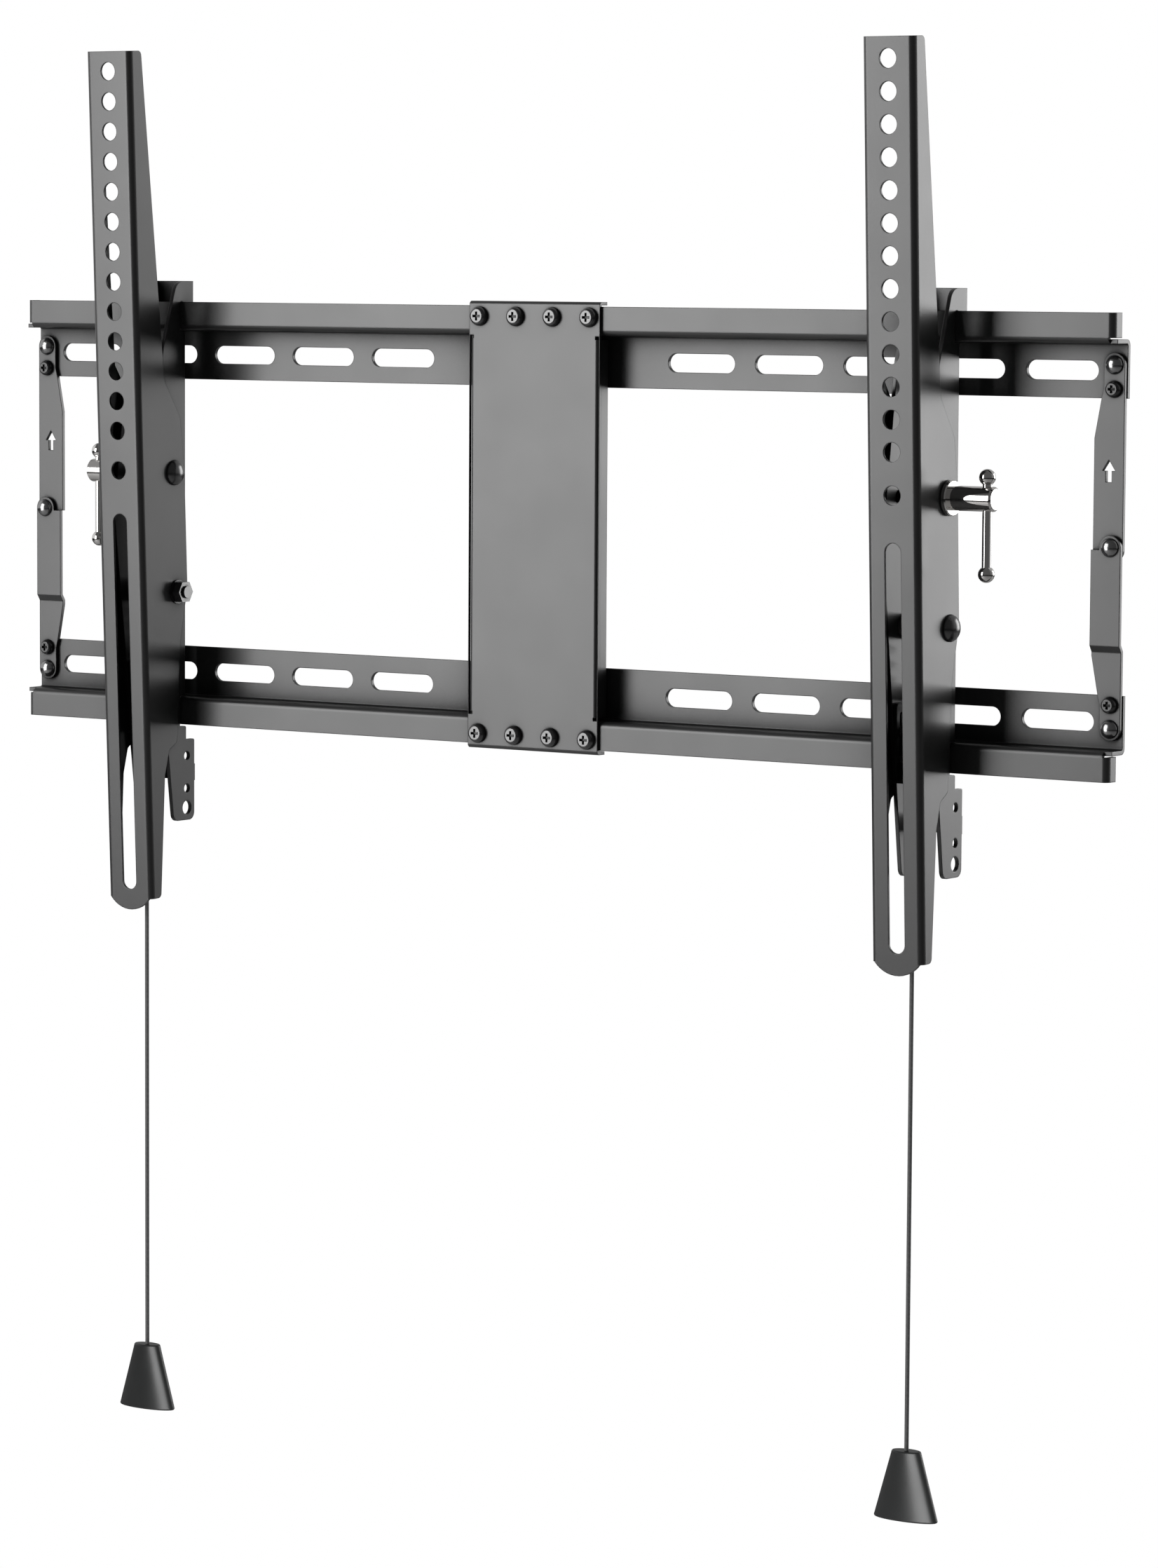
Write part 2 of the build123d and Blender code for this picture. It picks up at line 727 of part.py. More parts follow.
for side, arm_x in ((1, arm_right_x), (-1, arm_left_x)):
    word = side_name(side)
    pivot_center = Vector(0, pivot_y, pivot_height)
    outer_wall = arm_x + side * arm_half
    inner_wall = arm_x - side * arm_half

    hanger = make_hanger(arm_x)
    save(hanger, f"{word}_hanger")

    arm = make_arm(arm_x)
    save(arm, f"{word}_arm")

    with BuildPart() as pivot_bolt:
        grip = arm_width + pivot_boss + pivot_nut_height + pivot_thread
        head_seat = turning_plane(side, outer_wall, pivot_y, pivot_height)
        turn_dome(head_seat, pivot_head, pivot_dome, pivot_shank, grip)
    save(pivot_bolt, f"{word}_pivot_bolt")

    with BuildPart() as pivot_lock_nut:
        nut_plane = along_x(-side, inner_wall, pivot_center)
        with BuildSketch(nut_plane):
            Circle(washer_outer / 2)
        extrude(amount=pivot_boss)
        with BuildSketch(nut_plane.offset(pivot_boss)):
            RegularPolygon(pivot_nut / 2, hex_sides, major_radius=False)
        extrude(amount=pivot_nut_height)
        with BuildSketch(nut_plane):
            Circle(pivot_shank / 2)
        extrude(amount=pivot_boss + pivot_nut_height, mode=Mode.SUBTRACT)
    save(pivot_lock_nut, f"{word}_pivot_nut")

    with BuildPart() as pivot_spacer:
        seat = along_x(1, arm_x - hanger_inner, pivot_center)
        stand_disc(seat, spacer_outer, pivot_shank, 2 * hanger_inner)
    save(pivot_spacer, f"{word}_pivot_spacer")

    with BuildPart() as friction_washers:
        for face in (-1, 1):
            seat = along_x(face, arm_x + face * (hanger_half + washer_play), pivot_center)
            stand_disc(seat, washer_outer, pivot_shank, hanger_gap - 2 * washer_play)
    save(friction_washers, f"{word}_friction_washers")

    with BuildPart() as clamp_bolt:
        grip = arm_width + collar_gap + barrel_bore_depth - barrel_edge
        head_seat = turning_plane(-side, inner_wall, clamp_center.Y, clamp_center.Z)
        turn_dome(head_seat, clamp_head, clamp_dome, clamp_shank, grip)
    save(clamp_bolt, f"{word}_clamp_bolt")

    with BuildPart() as clamp_barrel:
        seat = turning_plane(side, outer_wall + side * collar_gap, clamp_center.Y, clamp_center.Z)
        bore = clamp_shank / 2 + barrel_bore_fit
        with BuildSketch(seat):
            with BuildLine():
                Polyline(
                    (0, bore),
                    (0, collar_outer / 2 - barrel_edge / 2),
                    (barrel_edge / 2, collar_outer / 2),
                    (collar_thick - barrel_edge / 2, collar_outer / 2),
                    (collar_thick, collar_outer / 2 - barrel_edge / 2),
                    (collar_thick, barrel_outer / 2),
                    (barrel_length - barrel_edge, barrel_outer / 2),
                    (barrel_length, barrel_outer / 2 - barrel_edge),
                    (barrel_length, 0),
                    (barrel_bore_depth, 0),
                    (barrel_bore_depth, bore),
                    close=True,
                )
            make_face()
        revolve(axis=Axis(seat.origin, seat.x_dir))
        bar_x = outer_wall + side * bar_reach
        with BuildSketch(Plane.XY.offset(clamp_center.Z - barrel_outer / 2)):
            with Locations((bar_x, clamp_center.Y)):
                Circle(bar_thick / 2 + bar_fit)
        extrude(amount=barrel_outer, mode=Mode.SUBTRACT)
    save(clamp_barrel, f"{word}_clamp_barrel")

    ball_top = clamp_center.Z + barrel_outer / 2 + bar_seat + bar_ball / 2
    ball_low = ball_top - bar_span
    ball_face = bar_ball / 2 - bar_socket

    with BuildPart() as handle_bar:
        with BuildSketch(Plane.XY.offset(ball_low - ball_face)):
            with Locations((bar_x, clamp_center.Y)):
                Circle(bar_thick / 2)
        extrude(amount=bar_span + 2 * ball_face)
    save(handle_bar, f"{word}_handle_bar")

    with BuildPart() as bar_balls:
        with Locations((bar_x, clamp_center.Y, ball_top), (bar_x, clamp_center.Y, ball_low)):
            Sphere(bar_ball / 2)
        add(handle_bar.part, mode=Mode.SUBTRACT)
    save(bar_balls, f"{word}_bar_balls")

    with BuildPart() as guide_pins:
        with BuildSketch(Plane.YZ.offset(arm_x)):
            for row in guide_rows:
                with Locations((-guide_y, -row)):
                    Circle(guide_pin / 2)
        extrude(amount=hanger_half, both=True)
    save(guide_pins, f"{word}_guide_pins")

    with BuildPart() as latch:
        with BuildSketch(Plane.YZ.offset(arm_x)):
            with BuildLine():
                Polyline(
                    (-latch_front, -latch_floor),
                    (-latch_front, -latch_under),
                    (latch_sheet - finger_front, -latch_under),
                    (latch_sheet - finger_front, -finger_top - latch_sheet),
                    (-finger_front, -finger_top),
                    (-finger_front, -latch_floor),
                    close=True,
                )
            make_face()
        extrude(amount=latch_half, both=True)
        for face in (-1, 1):
            with BuildSketch(Plane.YZ.offset(arm_x + face * latch_finger_half)):
                with Locations(((latch_sheet / 2 - finger_front), -finger_top)):
                    Rectangle(2 * latch_sheet, 2 * latch_finger_rise)
            extrude(amount=face * latch_half, mode=Mode.SUBTRACT)
        for face in (-1, 1):
            with BuildSketch(Plane.YZ.offset(arm_x + face * (latch_half - latch_sheet))):
                with BuildLine():
                    FilletPolyline(
                        (-latch_cheek_front, -latch_under),
                        (-latch_cheek_front, -latch_cheek_top),
                        (-latch_cheek_back, -latch_cheek_top),
                        (-latch_cheek_back, -latch_under),
                        radius=(0, latch_corner, latch_corner, 0),
                        close=True,
                    )
                make_face()
                upper_row, lower_row = guide_rows
                slot_low = lower_row + latch_slot_end
                slot_high = upper_row - latch_travel - latch_slot_end
                with Locations((-guide_y, -(slot_low + slot_high) / 2)):
                    SlotCenterToCenter(
                        slot_low - slot_high,
                        guide_pin + 2 * guide_fit,
                        rotation=quarter_turn,
                        mode=Mode.SUBTRACT,
                    )
            extrude(amount=face * latch_sheet)
        with BuildSketch(Plane.XY.offset(-latch_under)):
            with Locations((arm_x, cord_y)):
                Circle(cord_hole / 2)
            with Locations((arm_x, spring_y)):
                Circle(spring_wire)
        extrude(amount=latch_sheet, mode=Mode.SUBTRACT)
    save(latch, f"{word}_latch")

    spring_top = pivot_height - spacer_outer / 2 - spring_gap
    spring_low = -latch_floor + spring_gap
    with BuildPart() as latch_spring:
        coil_pitch = (spring_top - spring_low - spring_wire) / spring_turns
        with BuildLine():
            coil = Helix(
                coil_pitch, coil_pitch * spring_turns, spring_coil / 2,
                center=(arm_x, spring_y, spring_low + spring_wire / 2),
            )
        with BuildSketch(Plane(coil @ 0, z_dir=coil % 0)):
            RegularPolygon(spring_wire / 2, hex_sides)
        sweep(path=coil, is_frenet=True)
    save(latch_spring, f"{word}_latch_spring")

    with BuildPart() as pull_cord:
        cord_top = -latch_floor + cord_stop_height + cord_lift
        with BuildSketch(Plane.XY.offset(pull_top - cord_sunk)):
            with Locations((arm_x, cord_y)):
                Circle(cord_thick / 2)
        extrude(amount=cord_top - pull_top + cord_sunk)
    save(pull_cord, f"{word}_pull_cord")

    with BuildPart() as cord_knot:
        with BuildSketch(Plane.XY.offset(-latch_floor)):
            with Locations((arm_x, cord_y)):
                Circle(cord_stop / 2)
                Circle(cord_thick / 2, mode=Mode.SUBTRACT)
        extrude(amount=cord_stop_height)
        fillet(cord_knot.edges().filter_by(GeomType.CIRCLE).sort_by(SortBy.RADIUS)[-2:], pull_edge)
    save(cord_knot, f"{word}_cord_stop")

    with BuildPart() as cord_pull:
        for level, size in ((pull_top, pull_top_size), (pull_top - pull_height, pull_low_size)):
            width, depth = size
            with BuildSketch(Plane.XY.offset(level)):
                with Locations((arm_x, cord_y)):
                    Ellipse(width / 2, depth / 2)
        loft()
        fillet(cord_pull.faces().sort_by(Axis.Z)[0].edges(), pull_edge)
        fillet(cord_pull.faces().sort_by(Axis.Z)[-1].edges(), pull_edge)
        with BuildSketch(Plane.XY.offset(pull_top - cord_sunk)):
            with Locations((arm_x, cord_y)):
                Circle(cord_thick / 2)
        extrude(amount=cord_sunk, mode=Mode.SUBTRACT)
    save(cord_pull, f"{word}_cord_pull")
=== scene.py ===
import json
import math

import bmesh
import bpy
from mathutils import Matrix, Vector


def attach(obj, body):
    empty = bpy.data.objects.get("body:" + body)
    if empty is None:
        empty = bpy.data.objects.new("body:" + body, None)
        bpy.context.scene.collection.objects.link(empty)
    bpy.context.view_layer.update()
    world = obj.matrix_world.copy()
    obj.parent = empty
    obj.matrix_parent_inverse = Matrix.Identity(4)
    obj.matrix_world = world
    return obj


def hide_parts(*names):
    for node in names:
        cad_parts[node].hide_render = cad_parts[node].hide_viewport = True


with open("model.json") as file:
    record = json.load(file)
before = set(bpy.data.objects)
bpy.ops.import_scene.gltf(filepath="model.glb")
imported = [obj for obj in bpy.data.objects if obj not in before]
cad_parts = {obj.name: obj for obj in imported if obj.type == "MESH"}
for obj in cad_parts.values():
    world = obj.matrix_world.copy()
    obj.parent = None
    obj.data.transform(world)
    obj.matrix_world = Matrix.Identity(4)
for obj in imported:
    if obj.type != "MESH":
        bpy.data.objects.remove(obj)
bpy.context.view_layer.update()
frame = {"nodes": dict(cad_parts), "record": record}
nodes = frame["nodes"]
subparts = frame["record"]["subparts"]
scene = bpy.context.scene
scene.view_settings.view_transform = "Standard"
print("bracket loaded:", len(nodes), "solids")


def wayTo(turn, lift):
    # turn goes right from straight before the bracket, lift goes up, both in degrees
    around = math.radians(turn)
    raised = math.radians(lift)
    out = math.cos(raised)
    return Vector((math.sin(around) * out, -math.cos(around) * out, math.sin(raised)))


# camera fitted to the rails, slots and arms
photoCamera = {
    "place": (1.57431, -2.3082, 0.13015),
    "yaw": 34.0,
    "pitch": 5.254,
    "roll": 0.345,
    "lens": 130.98,
    "sensor": 36.0,
}


def addCamera():
    yaw = math.radians(photoCamera["yaw"])
    roll = math.radians(photoCamera["roll"])
    ahead = -wayTo(photoCamera["yaw"], photoCamera["pitch"])
    level = Vector((math.cos(yaw), math.sin(yaw), 0))
    above = level.cross(ahead)
    right = level * math.cos(roll) + above * math.sin(roll)
    up = above * math.cos(roll) - level * math.sin(roll)
    data = bpy.data.cameras.new("photoCamera")
    data.sensor_width = photoCamera["sensor"]
    data.lens = photoCamera["lens"]
    camera = bpy.data.objects.new("photoCamera", data)
    scene.collection.objects.link(camera)
    turn = Matrix((right, up, -ahead)).transposed()
    camera.rotation_mode = "QUATERNION"
    camera.rotation_quaternion = turn.to_quaternion()
    camera.location = photoCamera["place"]
    scene.camera = camera


addCamera()
print("camera placed")


# node pieces that the room, the floor and the finishes share
def newMaterial(name):
    material = bpy.data.materials.new(name)
    material.use_nodes = True
    tree = material.node_tree
    tree.nodes.clear()
    out = tree.nodes.new("ShaderNodeOutputMaterial")
    return material, tree, out.inputs["Surface"]


def softStep(tree, value, span, ends):
    step = tree.nodes.new("ShaderNodeMapRange")
    step.interpolation_type = "SMOOTHSTEP"
    step.inputs["From Min"].default_value, step.inputs["From Max"].default_value = span
    step.inputs["To Min"].default_value, step.inputs["To Max"].default_value = ends
    tree.links.new(value, step.inputs["Value"])
    return step.outputs["Result"]


def joinValues(tree, operation, first, second):
    join = tree.nodes.new("ShaderNodeMath")
    join.operation = operation
    tree.links.new(first, join.inputs[0])
    tree.links.new(second, join.inputs[1])
    return join.outputs[0]


def mixShaders(tree, share, first, second, target):
    mix = tree.nodes.new("ShaderNodeMixShader")
    tree.links.new(share, mix.inputs["Fac"])
    tree.links.new(first.outputs[0], mix.inputs[1])
    tree.links.new(second.outputs[0], mix.inputs[2])
    tree.links.new(mix.outputs[0], target)


def mixTones(tree, share, look, target):
    tone = tree.nodes.new("ShaderNodeMix")
    tone.data_type = "RGBA"
    tone.inputs["A"].default_value = (*look["dark"], 1)
    tone.inputs["B"].default_value = (*look["pale"], 1)
    tree.links.new(share, tone.inputs["Factor"])
    tree.links.new(tone.outputs["Result"], target)


# white to the camera, dim to the bracket
roomLook = {
    "glow": 0.10,
    "backGlow": 0.36,
    "backEdge": (-0.05, 0.45),
    "sideGlow": 0.75,
    "sideEdge": (-0.5, -0.85),
}


def addRoom():
    world = bpy.data.worlds.new("whiteRoom")
    scene.world = world
    world.use_nodes = True
    tree = world.node_tree
    tree.nodes.clear()
    out = tree.nodes.new("ShaderNodeOutputWorld")
    room = tree.nodes.new("ShaderNodeBackground")
    white = tree.nodes.new("ShaderNodeBackground")
    for light, glow in ((room, roomLook["glow"]), (white, 1.0)):
        light.inputs["Color"].default_value = (1, 1, 1, 1)
        light.inputs["Strength"].default_value = glow
    path = tree.nodes.new("ShaderNodeLightPath")
    # reflections see a pale wall behind and on the left, and a dark room before the bracket
    coord = tree.nodes.new("ShaderNodeTexCoord")
    split = tree.nodes.new("ShaderNodeSeparateXYZ")
    tree.links.new(coord.outputs["Generated"], split.inputs[0])
    behind = softStep(tree, split.outputs["Y"], roomLook["backEdge"], (0, roomLook["backGlow"]))
    beside = softStep(tree, split.outputs["X"], roomLook["sideEdge"], (0, roomLook["sideGlow"]))
    around = joinValues(tree, "MAXIMUM", behind, beside)
    mirrored = joinValues(tree, "MULTIPLY", around, path.outputs["Is Glossy Ray"])
    seen = joinValues(tree, "MAXIMUM", path.outputs["Is Camera Ray"], mirrored)
    through = joinValues(tree, "MAXIMUM", seen, path.outputs["Is Transmission Ray"])
    mixShaders(tree, through, room, white, out.inputs["Surface"])


floorLook = {"level": -1.1, "half": 14.0, "tone": 0.8, "near": 0.8, "far": 0.12, "reach": (2.6, 4.6)}


def paleFloor():
    finish, tree, face = newMaterial("paleFloor")
    matt = tree.nodes.new("ShaderNodeBsdfDiffuse")
    white = tree.nodes.new("ShaderNodeEmission")
    path = tree.nodes.new("ShaderNodeLightPath")
    # reflections see it pale below the bracket and dark further out
    coord = tree.nodes.new("ShaderNodeTexCoord")
    level = tree.nodes.new("ShaderNodeVectorMath")
    level.operation = "MULTIPLY"
    level.inputs[1].default_value = (1, 1, 0)
    away = tree.nodes.new("ShaderNodeVectorMath")
    away.operation = "LENGTH"
    tree.links.new(coord.outputs["Object"], level.inputs[0])
    tree.links.new(level.outputs["Vector"], away.inputs[0])
    ends = (floorLook["near"], floorLook["far"])
    mirrored = softStep(tree, away.outputs["Value"], floorLook["reach"], ends)
    tone = tree.nodes.new("ShaderNodeMapRange")
    tone.inputs["To Min"].default_value = floorLook["tone"]
    tree.links.new(mirrored, tone.inputs["To Max"])
    tree.links.new(path.outputs["Is Glossy Ray"], tone.inputs["Value"])
    tree.links.new(tone.outputs["Result"], matt.inputs["Color"])
    mixShaders(tree, path.outputs["Is Camera Ray"], matt, white, face)
    return finish


def addFloor():
    form = bmesh.new()
    bmesh.ops.create_grid(form, x_segments=1, y_segments=1, size=floorLook["half"])
    bmesh.ops.translate(form, verts=form.verts, vec=(0, 0, floorLook["level"]))
    mesh = bpy.data.meshes.new("paleFloor")
    form.to_mesh(mesh)
    form.free()
    floor = bpy.data.objects.new("paleFloor", mesh)
    scene.collection.objects.link(floor)
    mesh.materials.append(paleFloor())


addRoom()
addFloor()

# soft panels: the key before the bracket on the left, the rim behind it on the right
keyLook = {"turn": -33.0, "lift": 9.0, "far": 2.6, "size": (1.15, 1.9), "glow": 5.0}
rimLook = {"turn": 151.0, "lift": 8.8, "far": 5.2, "size": (2.4, 3.0), "glow": 4.0}
shadeLook = {**rimLook, "glow": 1.8}
stripLook = {"turn": 23.0, "lift": -12.0, "far": 2.6, "size": (2.3, 1.6), "glow": 12.0}
spotLook = {"turn": -33.0, "lift": 6.0, "far": 2.6, "size": (1.7, 3.0), "glow": 4.5}


def addPanel(name, look):
    way = wayTo(look["turn"], look["lift"])
    wide, high = look["size"]
    light = bpy.data.lights.new(name, "AREA")
    light.shape = "RECTANGLE"
    light.size = wide
    light.size_y = high
    light.energy = look["glow"] * math.pi * wide * high
    panel = bpy.data.objects.new(name, light)
    scene.collection.objects.link(panel)
    panel.location = way * look["far"]
    panel.rotation_euler = (-way).to_track_quat("-Z", "Y").to_euler()
    return panel


def lightPieces(panel, pieces, rule):
    lit = bpy.data.collections.new(panel.name + "Pieces")
    for piece in pieces:
        lit.objects.link(piece)
    for entry in lit.collection_objects:
        entry.light_linking.link_state = rule
    panel.light_linking.receiver_collection = lit


keyPanel = addPanel("keyPanel", keyLook)
rimPanel = addPanel("rimPanel", rimLook)
shadePanel = addPanel("shadePanel", shadeLook)
stripPanel = addPanel("stripPanel", stripLook)
spotPanel = addPanel("spotPanel", spotLook)

cordPulls = [nodes["right_cord_pull"], nodes["left_cord_pull"]]
strapRivets = [nodes["strap_rivets"]]
leftSheets = [nodes["left_arm"], nodes["left_hanger"]]
# the left arm and hanger get a weaker rim
lightPieces(rimPanel, leftSheets, "EXCLUDE")
lightPieces(shadePanel, leftSheets, "INCLUDE")
# the pulls have the strip and the rivets the spot, in place of the key
lightPieces(keyPanel, cordPulls + strapRivets, "EXCLUDE")
lightPieces(stripPanel, cordPulls, "INCLUDE")
lightPieces(spotPanel, strapRivets, "INCLUDE")
print("room and panels set")

# fine grain and slow cloudiness, for coats, plating and plastic
grainLook = {"fineDetail": 3, "fineRough": 0.55, "slowDetail": 2}
cornerRays = 6  # samples for corners and creases


def grainGroup():
    group = bpy.data.node_groups.new("surfaceGrain", "ShaderNodeTree")
    for side, names in (("INPUT", ("Fineness", "Cloud Size")), ("OUTPUT", ("Height", "Cloud"))):
        for name in names:
            group.interface.new_socket(name, in_out=side, socket_type="NodeSocketFloat")
    source = group.nodes.new("NodeGroupInput")
    target = group.nodes.new("NodeGroupOutput")
    coord = group.nodes.new("ShaderNodeTexCoord")
    fine = group.nodes.new("ShaderNodeTexNoise")
    fine.inputs["Detail"].default_value = grainLook["fineDetail"]
    fine.inputs["Roughness"].default_value = grainLook["fineRough"]
    slow = group.nodes.new("ShaderNodeTexNoise")
    slow.inputs["Detail"].default_value = grainLook["slowDetail"]
    for noise, scale, result in ((fine, "Fineness", "Height"), (slow, "Cloud Size", "Cloud")):
        group.links.new(coord.outputs["Object"], noise.inputs["Vector"])
        group.links.new(source.outputs[scale], noise.inputs["Scale"])
        group.links.new(noise.outputs["Fac"], target.inputs[result])
    return group


surfaceGrain = grainGroup()


def newFinish(name):
    finish, tree, face = newMaterial(name)
    surface = tree.nodes.new("ShaderNodeBsdfPrincipled")
    tree.links.new(surface.outputs[0], face)
    return finish, tree, surface


def placeGrain(tree, surface, look):
    grain = tree.nodes.new("ShaderNodeGroup")
    grain.node_tree = surfaceGrain
    grain.inputs["Fineness"].default_value = look["fineness"]
    grain.inputs["Cloud Size"].default_value = look["cloudSize"]
    mixTones(tree, grain.outputs["Cloud"], look, surface.inputs["Base Color"])
    sheen = tree.nodes.new("ShaderNodeMapRange")
    sheen.inputs["To Min"].default_value = look["smooth"]
    sheen.inputs["To Max"].default_value = look["rough"]
    bump = tree.nodes.new("ShaderNodeBump")
    bump.inputs["Strength"].default_value = 1.0
    bump.inputs["Distance"].default_value = look["depth"]
    tree.links.new(grain.outputs["Cloud"], sheen.inputs["Value"])
    tree.links.new(sheen.outputs["Result"], surface.inputs["Roughness"])
    tree.links.new(grain.outputs["Height"], bump.inputs["Height"])
    tree.links.new(bump.outputs["Normal"], surface.inputs["Normal"])
    return bump


def softenCorners(tree, bump, look):
    # the coat runs round each corner
    corner = tree.nodes.new("ShaderNodeBevel")
    corner.samples = cornerRays
    corner.inputs["Radius"].default_value = look["corner"]
    tree.links.new(corner.outputs["Normal"], bump.inputs["Normal"])


def paintCreaseShade(tree, surface, look):
    # painted shade: the specular level falls with ambient occlusion, so folds, channels and recesses reflect
    # less
    crease = tree.nodes.new("ShaderNodeAmbientOcclusion")
    crease.samples = cornerRays
    crease.inputs["Distance"].default_value = look["reach"]
    sheen = softStep(tree, crease.outputs["AO"], (look["shut"], look["open"]), (look["faint"], look["full"]))
    tree.links.new(sheen, surface.inputs["Specular IOR Level"])


# satin black coat of the sheet
powderCoatLook = {
    "fineness": 1500.0,
    "cloudSize": 35.0,
    "dark": (0.018, 0.018, 0.0185),
    "pale": (0.026, 0.026, 0.0265),
    "smooth": 0.30,
    "rough": 0.36,
    "depth": 0.000012,
    # reach to full set the painted shade in folds, channels and beside other parts
    "reach": 0.06,
    "shut": 0.42,
    "open": 0.92,
    "faint": 0.06,
    "full": 1.0,
    "corner": 0.0006,
}
# the right arm and hanger get a copy of the coat with weaker painted shade in their channels
armLook = {**powderCoatLook, "shut": 0.15, "open": 0.7, "faint": 0.5}  # right arm and hanger


def powderCoat(name, look):
    finish, tree, surface = newFinish(name)
    paintCreaseShade(tree, surface, look)
    bump = placeGrain(tree, surface, look)
    softenCorners(tree, bump, look)
    return finish


# screws, rivets and bolts
blackZincLook = {
    "fineness": 2600.0,
    "cloudSize": 220.0,
    "dark": (0.010, 0.010, 0.011),
    "pale": (0.02, 0.02, 0.021),
    "smooth": 0.20,
    "rough": 0.28,
    "depth": 0.000006,
    "bend": 1.62,
    # reach to full set the painted shade in the head recesses
    "reach": 0.003,
    "shut": 0.5,
    "open": 0.95,
    "faint": 0.02,
    "full": 1.0,
}
rivetLook = {**blackZincLook, "bend": 2.2, "smooth": 0.16, "rough": 0.22}
lockLook = {**blackZincLook, "bend": 1.4}


def blackZinc(name, look):
    finish, tree, surface = newFinish(name)
    surface.inputs["IOR"].default_value = look["bend"]
    paintCreaseShade(tree, surface, look)
    placeGrain(tree, surface, look)
    return finish


plainSteelLook = {
    "fineness": 1800.0,
    "cloudSize": 120.0,
    "dark": (0.32, 0.32, 0.325),
    "pale": (0.42, 0.42, 0.42),
    "smooth": 0.28,
    "rough": 0.42,
    "depth": 0.00001,
}
chromeLook = {
    "fineness": 700.0,
    "cloudSize": 90.0,
    "dark": (0.70, 0.68, 0.66),
    "pale": (0.80, 0.79, 0.78),
    "smooth": 0.03,
    "rough": 0.07,
    "depth": 0.000002,
}


def brightMetal(name, look):
    finish, tree, surface = newFinish(name)
    surface.inputs["Metallic"].default_value = 1.0
    placeGrain(tree, surface, look)
    return finish


nylonLook = {
    "fineness": 1500.0,
    "cloudSize": 90.0,
    "dark": (0.03, 0.03, 0.03),
    "pale": (0.05, 0.05, 0.05),
    "smooth": 0.45,
    "rough": 0.6,
    "depth": 0.00001,
    "specular": 0.5,
}
pullPlasticLook = {
    "fineness": 2200.0,
    "cloudSize": 60.0,
    "dark": (0.010, 0.0105, 0.0105),
    "pale": (0.014, 0.0145, 0.0145),
    "smooth": 0.34,
    "rough": 0.42,
    "depth": 0.000012,
    "specular": 0.38,
}


def darkPlastic(name, look):
    finish, tree, surface = newFinish(name)
    surface.inputs["Specular IOR Level"].default_value = look["specular"]
    placeGrain(tree, surface, look)
    return finish


braidLook = {
    "dark": (0.20, 0.20, 0.20),
    "pale": (0.23, 0.23, 0.23),
    "rough": 0.75,
    "bands": 130.0,
    "steep": 1.6,
    "depth": 0.000005,
}


def braidedCord(name, look):
    finish, tree, surface = newFinish(name)
    surface.inputs["Roughness"].default_value = look["rough"]
    coord = tree.nodes.new("ShaderNodeTexCoord")
    strands = []
    for lean in (1, -1):  # the two ways that the strands run
        lay = tree.nodes.new("ShaderNodeMapping")
        lay.inputs["Scale"].default_value = (1, lean, look["steep"])
        strand = tree.nodes.new("ShaderNodeTexWave")
        strand.wave_type = "BANDS"
        strand.bands_direction = "DIAGONAL"
        strand.inputs["Scale"].default_value = look["bands"]
        tree.links.new(coord.outputs["Object"], lay.inputs["Vector"])
        tree.links.new(lay.outputs["Vector"], strand.inputs["Vector"])
        strands.append(strand.outputs["Fac"])
    cross = joinValues(tree, "MULTIPLY", *strands)
    mixTones(tree, cross, look, surface.inputs["Base Color"])
    bump = tree.nodes.new("ShaderNodeBump")
    bump.inputs["Distance"].default_value = look["depth"]
    tree.links.new(cross, bump.inputs["Height"])
    tree.links.new(bump.outputs["Normal"], surface.inputs["Normal"])
    return finish


finishes = {
    "powder_coat": powderCoat("powderCoat", powderCoatLook),
    "black_zinc": blackZinc("blackZinc", blackZincLook),
    "plain_steel": brightMetal("plainSteel", plainSteelLook),
    "chrome": brightMetal("brightChrome", chromeLook),
    "nylon": darkPlastic("darkNylon", nylonLook),
    "cord": braidedCord("braidedCord", braidLook),
    "pull_plastic": darkPlastic("pullPlastic", pullPlasticLook),
}

for subpart in subparts:
    solid = nodes[subpart["node"]]
    solid.data.materials.clear()
    solid.data.materials.append(finishes[subpart["material_slot"]])
armCoat = powderCoat("armCoat", armLook)
for name in ("right_arm", "right_hanger"):
    nodes[name].data.materials[0] = armCoat
nodes["strap_rivets"].data.materials[0] = blackZinc("rivetZinc", rivetLook)
nodes["strap_lock_screws"].data.materials[0] = blackZinc("lockZinc", lockLook)
print("finishes placed")

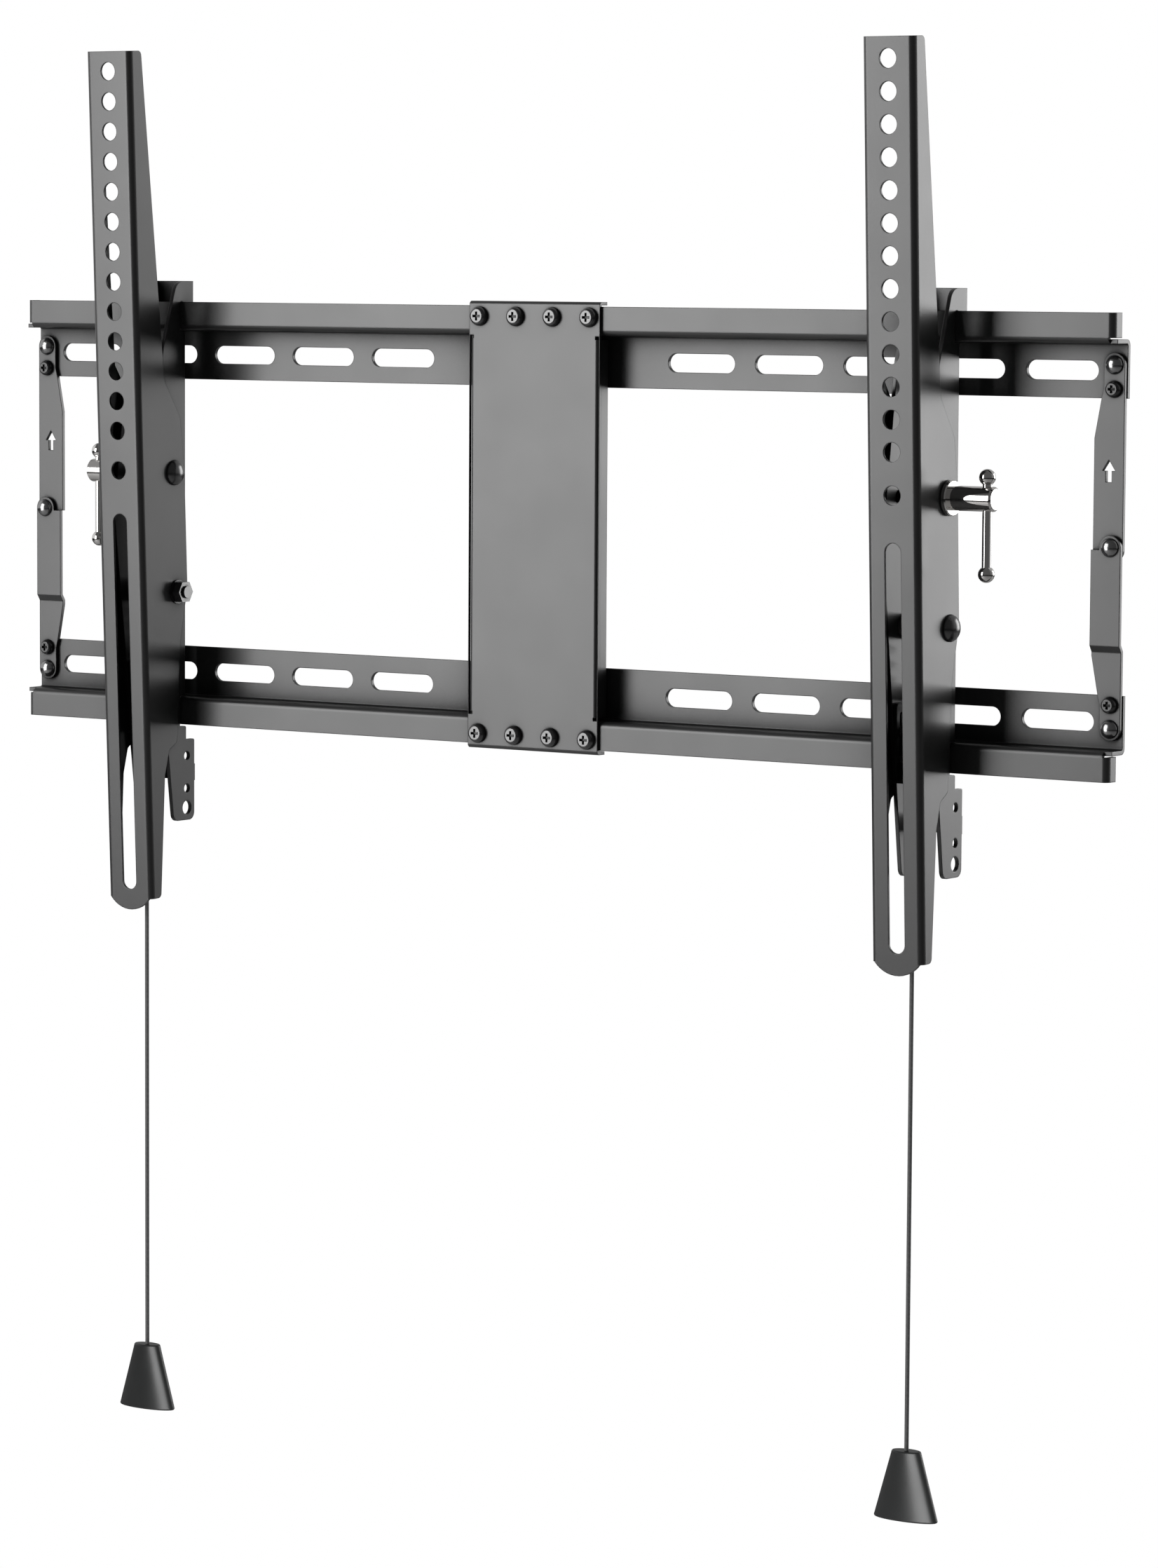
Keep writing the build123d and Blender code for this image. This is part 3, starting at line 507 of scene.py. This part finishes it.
# the cut edges of the sheet are rounded by the coat
sheetEdge = {"round": 0.0005, "steps": 3, "corner": 28.0, "join": 0.000001, "level": 0.5, "flatWeight": 100}


def roundEdges(solid):
    weld = solid.modifiers.new("join", "WELD")
    weld.merge_threshold = sheetEdge["join"]
    level = solid.modifiers.new("level", "DECIMATE")
    level.decimate_type = "DISSOLVE"
    level.angle_limit = math.radians(sheetEdge["level"])
    edge = solid.modifiers.new("edge", "BEVEL")
    edge.width = sheetEdge["round"]
    edge.segments = sheetEdge["steps"]
    edge.limit_method = "ANGLE"
    edge.angle_limit = math.radians(sheetEdge["corner"])
    edge.use_clamp_overlap = True
    flats = solid.modifiers.new("flats", "WEIGHTED_NORMAL")
    flats.weight = sheetEdge["flatWeight"]


for subpart in subparts:
    if subpart["material_slot"] == "powder_coat":
        roundEdges(nodes[subpart["node"]])
print("sheet edges rounded")

# pull cords, from the knot in the latch down into the pull
cordRoute = {
    "thick": 0.0021,
    "length": 0.3309,
    "depth": -0.0264,
    "top": -0.1056,
    "low": -0.4365,
    "near": 0.012,
    "across": {"right": 0.2235, "left": -0.231},
}
cordMesh = {"round": 4, "order": 3, "steps": 12}


def addCord(side):
    x = cordRoute["across"][side]
    upper = cordRoute["top"] - cordRoute["near"]
    lower = cordRoute["low"] + cordRoute["near"]
    levels = (cordRoute["top"], upper, lower, cordRoute["low"])
    curve = bpy.data.curves.new(side + "PullCord", "CURVE")
    curve.dimensions = "3D"
    curve.bevel_depth = cordRoute["thick"] / 2
    curve.bevel_resolution = cordMesh["round"]
    curve.use_fill_caps = True
    spline = curve.splines.new("NURBS")
    spline.points.add(len(levels) - 1)
    for point, level in zip(spline.points, levels):
        point.co = (x, cordRoute["depth"], level, 1)
    spline.order_u = cordMesh["order"]
    spline.use_endpoint_u = True
    spline.resolution_u = cordMesh["steps"]
    cord = bpy.data.objects.new(side + "PullCord", curve)
    scene.collection.objects.link(cord)
    curve.materials.append(finishes["cord"])
    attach(cord, side + "_catch")
    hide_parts(side + "_pull_cord")


for side in ("right", "left"):
    addCord(side)
print("cords hung")
